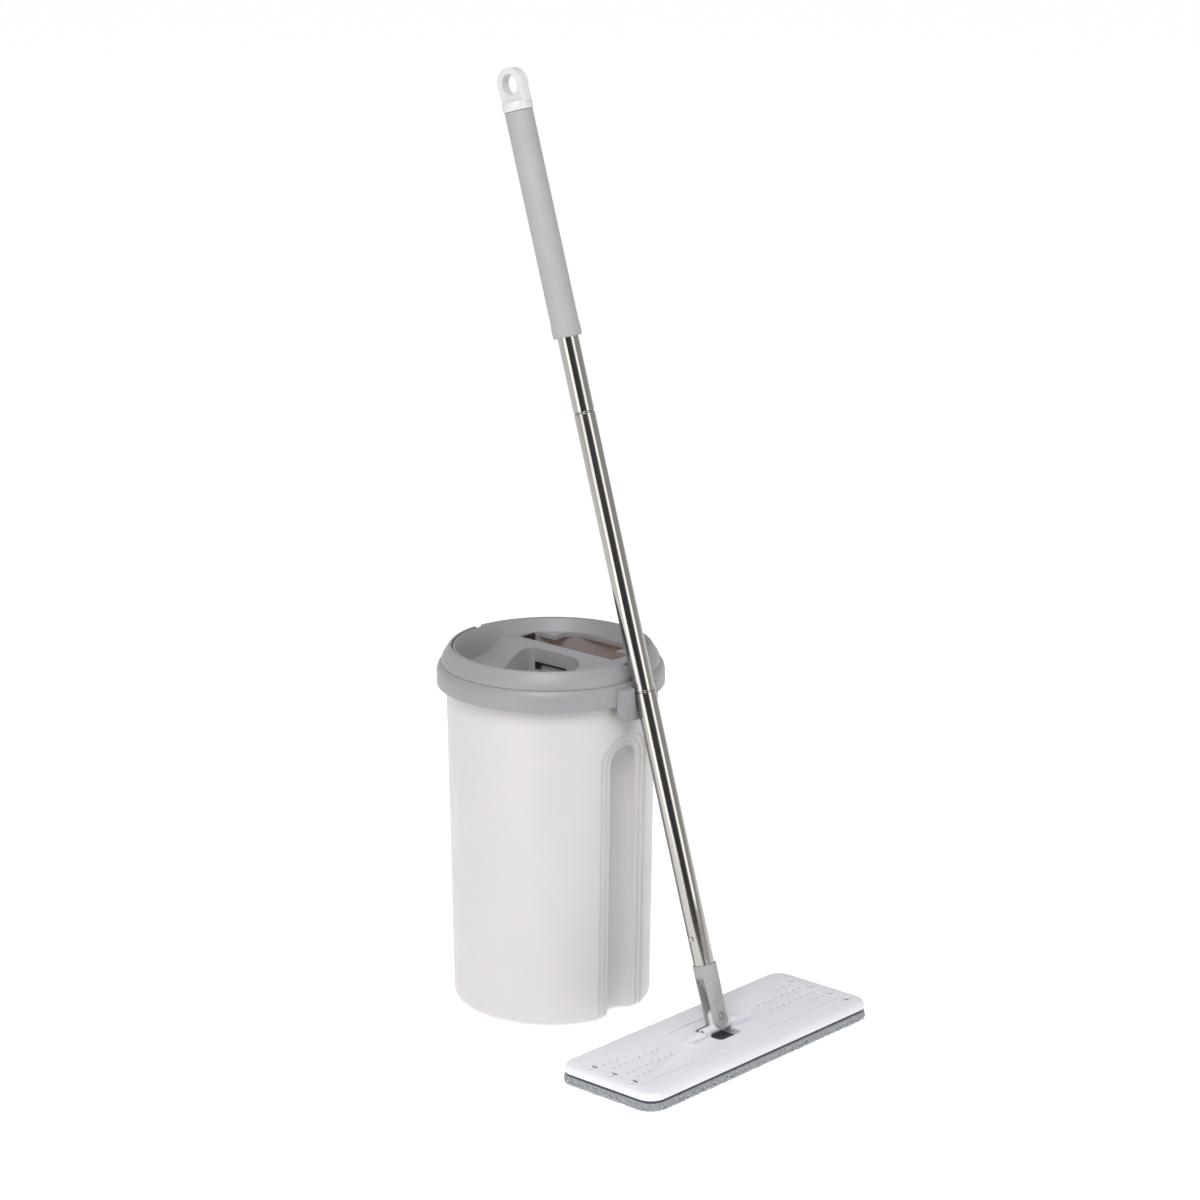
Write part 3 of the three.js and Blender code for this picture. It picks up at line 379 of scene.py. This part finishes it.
@dataclass
class Assembly:
    """What every sub-assembly shares: the frame, the finishes and how a piece is placed."""

    frame: dict
    paint: Paint

    def place(self, obj: bpy.types.Object, body: str, slot: str, *nodes: str) -> bpy.types.Object:
        """Put a finished piece on its body, in the place of its CAD nodes.

        Args:
            obj: the piece.
            body: the CAD body it rides on.
            slot: the record's material slot; not used.
            nodes: the CAD nodes it stands for.

        Returns:
            The piece.
        """
        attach(obj, body)
        if nodes:
            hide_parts(*nodes)
        LOG.info("%s: %d faces", obj.name, len(obj.data.polygons))
        return obj

    def rounded(
        self, node: str, body: str, slot: str, look: Look, bevel_mm: float, segments: int = 2
    ) -> bpy.types.Object:
        """Replace a CAD node with its rounded copy.

        Args:
            node: the node's name.
            body: the body it rides on.
            slot: the record's material slot.
            look: its finish.
            bevel_mm: the rounding's width.
            segments: how many steps make the rounding.

        Returns:
            The new piece.
        """
        flat_below = 20
        bm = refined(self.frame["nodes"][node], bevel_mm * MM, segments)
        return self.place(finished(f"{node}_skin", bm, self.paint(look), flat_below), body, slot, node)


# ---------------------------------------------------------------- bucket


@dataclass
class Flute:
    """The arched recess down the bucket's front: steps that follow the wall, then a round channel."""

    half: float = 0.0345
    step_wide: float = 0.0072
    step_deep: float = 0.002
    steps: int = 3
    channel_half: float = 0.019
    channel_deep: float = 0.0095
    channel_edge: float = 0.0968
    spring_z: float = 0.2805
    blend: float = 0.0009
    rounds: int = 6

    def recess(self, off: float) -> float:
        """How deep the steps go below the wall.

        Args:
            off: distance from the flute's middle, sideways or from the arch's centre.

        Returns:
            The depth there.
        """
        edges = [self.half - step * self.step_wide for step in range(self.steps)]
        return sum(self.step_deep * (1 - ease((off - edge) / self.blend + 0.5)) for edge in edges)

    def channel(self, off: float) -> float:
        """Find the round channel's floor.

        Args:
            off: distance from the flute's middle.

        Returns:
            The floor's distance in front of the bucket's axis.
        """
        radius = (self.channel_half**2 + self.channel_deep**2) / (2 * self.channel_deep)
        return self.channel_edge - self.channel_deep + radius - math.sqrt(radius**2 - off**2)

    def radius(self, turn: float, z: float, body: float) -> float:
        """The bucket's radius in one direction, with the flute taken out.

        Args:
            turn: angle from the front.
            z: height.
            body: radius of the plain bucket there.

        Returns:
            The smaller radius.
        """
        reach = body
        for _ in range(self.rounds):
            off = math.hypot(reach * math.sin(turn), max(z - self.spring_z, 0.0))
            reach = body - self.recess(off)
            if off < self.channel_half:
                reach = min(reach, self.channel(off) / math.cos(turn))
        return reach


@dataclass
class Bucket(Assembly):
    """Bucket body, feet, lid, clip, handle and the scraper under the bridge."""

    wall: float = 0.0025
    fillet: float = 0.008
    draft: float = 0.0053
    shoulder: float = 0.350
    flute_turn: float = math.radians(20.5)
    flute_steps: int = 180
    plain_steps: int = 120
    levels: tuple[int, int, int] = (60, 44, 10)
    fillet_steps: int = 8
    flute: Flute = field(default_factory=Flute)

    def heights(self, base: float, top: float) -> list[float]:
        """Heights up the wall, close together round the flute's arch.

        Args:
            base: where the straight wall starts.
            top: where it ends.

        Returns:
            The heights in order.
        """
        spring = self.flute.spring_z
        arch_top = spring + self.flute.half + 3 * MM
        low, middle, high = self.levels
        straight = [base + (spring - base) * i / low for i in range(low)]
        arch = [spring + (arch_top - spring) * i / middle for i in range(middle)]
        above = [arch_top + (top - arch_top) * i / high for i in range(high + 1)]
        return straight + arch + above

    def section(self, low: Vector, high: Vector) -> Profile:
        """Draw the wall's section from the middle of the underside, up, over the rim and down inside.

        Args:
            low: lowest corner of the CAD body.
            high: its highest corner.

        Returns:
            Radius and height pairs.
        """
        base, rim, turned = low[2], high[2], low[2] + self.fillet
        base_r = self.plain(base, low, high)
        floor_r = base_r - self.fillet
        foot = []
        for k in range(self.fillet_steps + 1):
            angle = math.pi / 2 * k / self.fillet_steps
            foot.append((floor_r + self.fillet * math.sin(angle), turned - self.fillet * math.cos(angle)))
        outside = [(self.plain(z, low, high), z) for z in self.heights(turned + 2 * MM, rim)]
        inside = [(r - self.wall, z) for r, z in reversed(outside)]
        under = [(0.0, base), (0.5 * floor_r, base)]
        floor = [(r, base + self.wall) for r in (floor_r, 0.5 * floor_r, 0.0)]
        return under + foot + outside + inside + floor

    def plain(self, z: float, low: Vector, high: Vector) -> float:
        """Find the bucket's radius without its flute.

        Args:
            z: height.
            low: lowest corner of the CAD body.
            high: its highest corner.

        Returns:
            The radius, widening from the base to the shoulder and straight above it.
        """
        top_r = (high[0] - low[0]) / 2
        share = (z - low[2] - self.fillet) / (self.shoulder - low[2] - self.fillet)
        return top_r - self.draft * (1 - min(max(share, 0.0), 1.0))

    def body(self) -> bpy.types.Object:
        """Spin the wall's section, closely stepped across the flute, and pull the flute in.

        Returns:
            The bucket's body.
        """
        low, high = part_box("bucket_body")
        lid_low, lid_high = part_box("lid_insert")
        centre_y = (lid_low[1] + lid_high[1]) / 2
        bm = bmesh.new()
        first_turn = -math.pi / 2 - self.flute_turn
        for start, angle, steps in (
            (first_turn, 2 * self.flute_turn, self.flute_steps),
            (first_turn + 2 * self.flute_turn, math.tau - 2 * self.flute_turn, self.plain_steps),
        ):
            ray = Vector((math.cos(start), math.sin(start), 0))
            verts = [bm.verts.new(ray * r + Vector((0, 0, z))) for r, z in self.section(low, high)]
            edges = [bm.edges.new(pair) for pair in zip(verts, verts[1:])]
            bmesh.ops.spin(
                bm, geom=verts + edges, cent=(0, 0, 0), axis=(0, 0, 1), angle=angle, steps=steps
            )
        bmesh.ops.remove_doubles(bm, verts=bm.verts, dist=MERGE)
        bmesh.ops.dissolve_degenerate(bm, edges=bm.edges, dist=0.1 * MERGE)
        for vert in bm.verts:
            turn = math.atan2(vert.co.x, -vert.co.y)
            if abs(turn) < self.flute_turn:
                plain = self.plain(vert.co.z, low, high)
                pull = self.flute.radius(turn, vert.co.z, plain) / plain
                vert.co.x *= pull
                vert.co.y *= pull
        bmesh.ops.translate(bm, vec=(0, centre_y, 0), verts=bm.verts)
        bmesh.ops.recalc_face_normals(bm, faces=bm.faces)
        axis = Vector((0, centre_y, 0))
        # Inward faces get the tan glowing finish: painted light for the light that comes through the wall.
        for face in bm.faces:
            out = (face.calc_center_median() - axis) * Vector((1, 1, 0))
            face.material_index = int(face.normal.dot(out) < 0)
        obj = finished("bucket_skin", bm, self.paint(Look.BUCKET_WHITE), 50)
        obj.data.materials.append(self.paint(Look.BUCKET_INSIDE_PAINTED_GLOW))
        return self.place(obj, "bucket", "bucket_white", "bucket_body")

    def build(self) -> None:
        """Make the whole bucket."""
        self.body()
        for i in range(1, 5):
            self.rounded(f"foot_{i}", "bucket", "bucket_white", Look.BUCKET_WHITE, 0.4)
        self.rounded("lid_insert", "bucket", "lid_grey", Look.LID_GREY, 0.9, 3)
        self.rounded("pole_clip", "bucket", "lid_grey", Look.LID_GREY, 0.7)
        self.rounded("carry_handle", "handle", "lid_grey", Look.LID_GREY, 1.0, 3)
        for side in ("front", "back"):
            self.rounded(f"handle_pin_{side}", "handle", "lid_grey", Look.LID_GREY, 0.3)
        self.rounded("scraper_frame", "bucket", "black_plastic", Look.BLACK, 0.4)
        self.rounded("scraper_holder", "scraper", "plate_white", Look.PLATE_WHITE, 0.8, 3)
        self.rounded("scraper_blade", "scraper", "dark_rubber", Look.RUBBER, 0.2)


# ---------------------------------------------------------------- mop head


@dataclass
class MopHead(Assembly):
    """Plate, backing, pad, buttons and the swivel that carries the pole."""

    corner: float = 0.020
    loop_r: float = 0.0015
    loop_rows: int = 4
    loop_pitch: float = 0.0021
    notch_off: float = 0.007
    seed: int = 12
    corner_steps: int = 12

    def pad_outline(self, inset: float) -> list[Vector]:
        """Draw the pad's plan outline, pulled in from its CAD edge.

        Args:
            inset: how far in.

        Returns:
            Points in order round the pad.
        """
        low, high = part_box("mop_pad")
        middle = Vector(((low[0] + high[0]) / 2, (low[1] + high[1]) / 2, 0))
        half_x, half_y = (high[0] - low[0]) / 2 - inset, (high[1] - low[1]) / 2 - inset
        corner = self.corner - inset
        points = []
        for quarter, (sx, sy) in enumerate(((1, 1), (-1, 1), (-1, -1), (1, -1))):
            centre = middle + Vector((sx * (half_x - corner), sy * (half_y - corner), 0))
            for k in range(self.corner_steps + 1):
                angle = math.pi / 2 * (quarter + k / self.corner_steps)
                points.append(centre + Vector((math.cos(angle), math.sin(angle), 0)) * corner)
        return points

    def along(self, outline: list[Vector], pitch: float) -> Iterable[tuple[Vector, Vector]]:
        """Walk a closed outline at an even pitch.

        Args:
            outline: the points.
            pitch: distance between stops.

        Yields:
            Each stop and the outward direction there.
        """
        spare = 0.0
        for a, b in zip(outline, outline[1:] + outline[:1]):
            run = b - a
            if run.length < 1e-9:
                continue
            out = Vector((run.y, -run.x, 0)).normalized()
            at = spare
            while at < run.length:
                yield a + run * (at / run.length), out
                at += pitch
            spare = at - run.length

    def pad_body(self) -> bpy.types.Object:
        """Make the pad's knitted core: the CAD pad with round edges, drawn in by the pile's depth.

        Returns:
            The core.
        """
        low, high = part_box("mop_pad")
        middle = (Vector(low) + Vector(high)) / 2
        middle.z = high[2]
        bm = refined(self.frame["nodes"]["mop_pad"], 1.6 * MM, 3, 60)
        shrink = [1 - 2 * self.loop_r / (high[k] - low[k]) for k in (0, 1)]
        bmesh.ops.scale(bm, vec=(*shrink, 1), space=Matrix.Translation(-middle), verts=bm.verts)
        obj = finished("microfibre_pad", bm, self.paint(Look.MICROFIBRE), 60)
        return self.place(obj, "mop_head", "microfibre", "mop_pad")

    def pad_pile(self) -> bpy.types.Object:
        """Make the looped pile round the pad's edge: rows of small uneven knots.

        Returns:
            The pile.
        """
        low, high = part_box("mop_pad")
        thick = high[2] - low[2]
        rng = random.Random(self.seed)
        bm = bmesh.new()
        for row in range(self.loop_rows):
            row_z = low[2] + self.loop_r + (thick - 2.4 * self.loop_r) * row / (self.loop_rows - 1)
            for at, out in self.along(self.pad_outline(0.8 * self.loop_r), self.loop_pitch):
                size = self.loop_r * rng.uniform(0.55, 1.15)
                lift = rng.uniform(-1, 1) * 0.2 * MM
                place = Vector((at.x, at.y, row_z + lift)) + out * rng.uniform(-1, 1) * 0.7 * MM
                place.z = max(place.z, low[2] + 1.1 * size)
                turn = Matrix.Rotation(rng.uniform(0, math.tau), 4, "Z") @ Matrix.Diagonal((1, 1, 1.1, 1))
                at_place = Matrix.Translation(place) @ turn
                bmesh.ops.create_icosphere(bm, subdivisions=1, radius=size, matrix=at_place)
        obj = finished("microfibre_pile", bm, self.paint(Look.MICROFIBRE), 80)
        return self.place(obj, "mop_head", "microfibre")

    def notch_shade_blocks(self) -> None:
        """Make black blocks under the plate's notches, beside the left buttons: painted shade that makes
        each notch read dark.
        """
        # Painted shade: black blocks sit under the notches so the holes read dark.
        size = Vector((2.6, 7.4, 2.0)) * MM
        below = 0.8 * MM
        bm = bmesh.new()
        for i in range(1, 4):
            low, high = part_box(f"plate_button_left_{i}")
            centre = Vector(((low[0] + high[0]) / 2 + self.notch_off, (low[1] + high[1]) / 2, 0))
            centre.z = low[2] - below - size.z / 2
            scale = Matrix.Diagonal((*size, 1))
            bmesh.ops.create_cube(bm, size=1, matrix=Matrix.Translation(centre) @ scale)
        bmesh.ops.bevel(
            bm, geom=bm.edges[:], offset=0.4 * MM, segments=2, profile=0.5, affect="EDGES", material=-1
        )
        self.place(finished("notch_painted_shade", bm, self.paint(Look.BLACK)), "mop_head", "black_plastic")

    def build(self) -> None:
        """Make the whole head."""
        self.pad_body()
        self.pad_pile()
        self.rounded("backing_plate", "mop_head", "dark_rubber", Look.RUBBER, 0.8)
        self.rounded("head_plate", "mop_head", "plate_white", Look.PLATE_WHITE, 0.5)
        self.rounded("swivel_axle", "mop_head", "steel", Look.STEEL, 0.3)
        for side, count in (("left", 3), ("right", 4)):
            for i in range(1, count + 1):
                node = f"plate_button_{side}_{i}"
                self.rounded(node, "mop_head", "plate_white", Look.PLATE_WHITE, 0.6, 3)
        self.rounded("swivel_block", "swivel", "plate_white", Look.PLATE_WHITE, 0.6)
        self.notch_shade_blocks()


# ---------------------------------------------------------------- pole


@dataclass
class Pole(Assembly):
    """Fork, three screwed tubes, grip and hanging cap, upright about the axle and then leaned."""

    tube_r: float = 0.011
    tube_wall: float = 0.001
    lower_joint: float = 0.3565
    upper_joint: float = 0.6485
    socket: float = 0.056
    ring_half: float = 0.0009
    grip: tuple[float, float] = (0.7268, 0.9605)
    grip_r: float = 0.0145
    grip_wide_r: float = 0.0152

    def leaned(self, bm: bmesh.types.BMesh) -> bmesh.types.BMesh:
        """Move a shape made upright about the axle to where the pole leans.

        Args:
            bm: the upright shape.

        Returns:
            The same shape, moved.
        """
        joints = {joint["name"]: joint for joint in self.frame["record"]["behaviour"]["joints"]}
        _, across, down = joints["head_swing"]["axis"]
        lean = math.atan2(-down, across)
        turn = Matrix.Translation(joints["head_tilt"]["pos_m"]) @ Matrix.Rotation(-lean, 4, "X")
        bmesh.ops.transform(bm, matrix=turn, verts=bm.verts)
        return bm

    def tube(self, name: str, bottom: float, top: float) -> None:
        """Make one polished tube with rolled ends.

        Args:
            name: its CAD node.
            bottom: its lower end, along the pole.
            top: its upper end.
        """
        out, inn, roll = self.tube_r, self.tube_r - self.tube_wall, 0.4 * MM
        corners = [(inn, bottom), (out, bottom), (out, top), (inn, top)]
        bm = lathe(soften(corners, [roll / 2, roll, roll, roll / 2]), 96)
        obj = finished(f"{name}_skin", self.leaned(bm), self.paint(Look.STEEL), 50)
        self.place(obj, "pole", "steel", name)

    def grip_sleeve(self) -> None:
        """Make the long matte grip, with its swelling lower end."""
        low, high = self.grip
        inn = self.tube_r + 0.3 * MM
        out, wide = self.grip_r, self.grip_wide_r
        swell = 8 * MM
        corners = [
            (inn, low), (wide - 0.4 * MM, low), (wide, low + swell), (out, low + 2 * swell),
            (out, high), (inn, high),
        ]
        profile = soften(corners, [0, 1.2 * MM, 4 * MM, 4 * MM, 1 * MM, 0])
        obj = finished("grip_skin", self.leaned(lathe(profile, 96)), self.paint(Look.GRIP_GREY), 50)
        self.place(obj, "pole", "grip_grey", "grip_sleeve")

    def build(self) -> None:
        """Make the whole pole."""
        self.rounded("connector_fork", "pole", "grip_grey", Look.GRIP_GREY, 0.8, 3)
        self.rounded("fork_pin", "pole", "steel", Look.STEEL, 0.4)
        self.tube("lower_tube", self.socket, self.lower_joint - self.ring_half)
        self.tube("middle_tube", self.lower_joint + self.ring_half, self.upper_joint - self.ring_half)
        self.tube("upper_tube", self.upper_joint + self.ring_half, self.grip[1])
        for node in ("tube_joint_lower", "tube_joint_upper"):
            self.rounded(node, "pole", "steel", Look.STEEL, 0.3)
        self.rounded("tube_rivet", "pole", "steel", Look.STEEL, 0.3)
        self.grip_sleeve()
        self.rounded("hang_cap", "pole", "cap_white", Look.CAP_WHITE, 1.2, 3)


# ---------------------------------------------------------------- studio


@dataclass
class Studio:
    """Camera, pale floor and soft light, with dark papers for the polished tubes to reflect."""

    eye: Point = (-2.59934, -2.33372, 1.41061)
    ahead: Point = (0.71494, 0.64733, -0.26426)
    lens: float = 105.84
    floor_glow: float = 0.48
    sky: float = 0.55
    paper: float = 0.13

    def camera(self) -> None:
        """Set the camera, a long lens a little above the set."""
        data = bpy.data.cameras.new("camera")
        data.lens = self.lens
        data.sensor_width = 36
        data.clip_end = 50.0
        obj = bpy.data.objects.new("camera", data)
        obj.location = self.eye
        obj.rotation_euler = Vector(self.ahead).to_track_quat("-Z", "Y").to_euler()
        bpy.context.scene.collection.objects.link(obj)
        bpy.context.scene.camera = obj

    def lamp(self, name: str, place: Point, aim: Point, size: tuple[float, float], power: float) -> None:
        """Hang one soft box.

        Args:
            name: the light's name.
            place: where it is.
            aim: what it points at.
            size: its width and height.
            power: its watts.
        """
        data = bpy.data.lights.new(name, "AREA")
        data.shape = "RECTANGLE"
        data.size, data.size_y = size
        data.energy = power
        obj = bpy.data.objects.new(name, data)
        obj.location = place
        obj.rotation_euler = (Vector(aim) - Vector(place)).to_track_quat("-Z", "Y").to_euler()
        bpy.context.scene.collection.objects.link(obj)

    def floor(self) -> None:
        """Lay the pale floor."""
        bm = bmesh.new()
        bmesh.ops.create_grid(bm, x_segments=1, y_segments=1, size=30)
        material = bpy.data.materials.new("pale_paper_floor")
        material.use_nodes = True
        shader = material.node_tree.nodes["Principled BSDF"]
        shader.inputs["Base Color"].default_value = (0.93, 0.93, 0.93, 1)
        shader.inputs["Roughness"].default_value = 0.9
        shader.inputs["Specular IOR Level"].default_value = 0.1
        shader.inputs["Emission Color"].default_value = (1, 1, 1, 1)
        shader.inputs["Emission Strength"].default_value = self.floor_glow
        floor = finished("floor", bm, material)
        floor.location.z = -0.2 * MM

    def matte(self, name: str) -> bpy.types.Material:
        """Make a dull dark paper.

        Args:
            name: what it is for.

        Returns:
            Its material.
        """
        material = bpy.data.materials.new(f"matte_paper_{name}")
        material.use_nodes = True
        shader = material.node_tree.nodes["Principled BSDF"]
        shader.inputs["Base Color"].default_value = (self.paper, self.paper, self.paper, 1)
        shader.inputs["Roughness"].default_value = 0.9
        return material

    def runner(self, reach: tuple[float, float], spread: float) -> None:
        """Lay a dark paper on the floor below the camera, unseen by it and wider further out.

        Args:
            reach: how far its near and far ends are from the object.
            spread: half its width, as a share of the distance.
        """
        out = Vector((-self.ahead[0], -self.ahead[1], 0)).normalized()
        side = Vector((-out.y, out.x, 0))
        bm = bmesh.new()
        bmesh.ops.create_grid(bm, x_segments=1, y_segments=1, size=1)
        for vert in bm.verts:
            far = reach[1] if vert.co.x > 0 else reach[0]
            aside = side * spread * far * math.copysign(1, vert.co.y)
            vert.co = out * far + aside + Vector((0, 0, 1 * MM))
        runner = finished("runner", bm, self.matte("runner"))
        runner.visible_camera = False

    def card(self, name: str, place: Point, size: tuple[float, float]) -> None:
        """Stand a plain card, facing the object, that the camera itself doesn't see.

        Args:
            name: the card's name.
            place: its middle.
            size: its width and height.
        """
        bm = bmesh.new()
        bmesh.ops.create_grid(bm, x_segments=1, y_segments=1, size=0.5)
        bmesh.ops.scale(bm, vec=(size[0], size[1], 1), verts=bm.verts)
        card = finished(name, bm, self.matte(name))
        card.location = place
        inward = Vector((-place[0], -place[1], 0))
        card.rotation_euler = inward.to_track_quat("Z", "Y").to_euler()
        card.visible_camera = False

    def build(self) -> None:
        """Set up everything round the object."""
        self.floor()
        world = bpy.data.worlds.new("studio")
        world.use_nodes = True
        world.node_tree.nodes["Background"].inputs["Color"].default_value = (1, 1, 1, 1)
        world.node_tree.nodes["Background"].inputs["Strength"].default_value = self.sky
        bpy.context.scene.world = world
        self.lamp("left_box", (-1.6, 0.05, 0.62), (0, 0.0, 0.55), (0.76, 1.3), 5)
        self.lamp("right_box", (0.03, -1.7, 0.95), (0, 0.0, 0.7), (0.7, 1.4), 5.5)
        self.lamp("key_box", (-1.5, -0.9, 2.3), (0, 0.0, 0.3), (1.2, 1.2), 42)
        self.card("card_behind_camera", (-3.1, -2.8, 1.25), (4.8, 2.5))
        self.runner((0.8, 4.0), 0.36)
        bpy.context.scene.view_settings.view_transform = "Standard"


def main() -> None:
    """Build the set in order and report each piece."""
    logging.basicConfig(level=logging.INFO, format="%(message)s")
    studio = Studio()
    studio.camera()
    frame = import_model()
    paint = Paint()
    for assembly in (Bucket(frame, paint), MopHead(frame, paint), Pole(frame, paint)):
        assembly.build()
        LOG.info("built %s", type(assembly).__name__)
    studio.build()


if __name__ == "__main__":
    main()
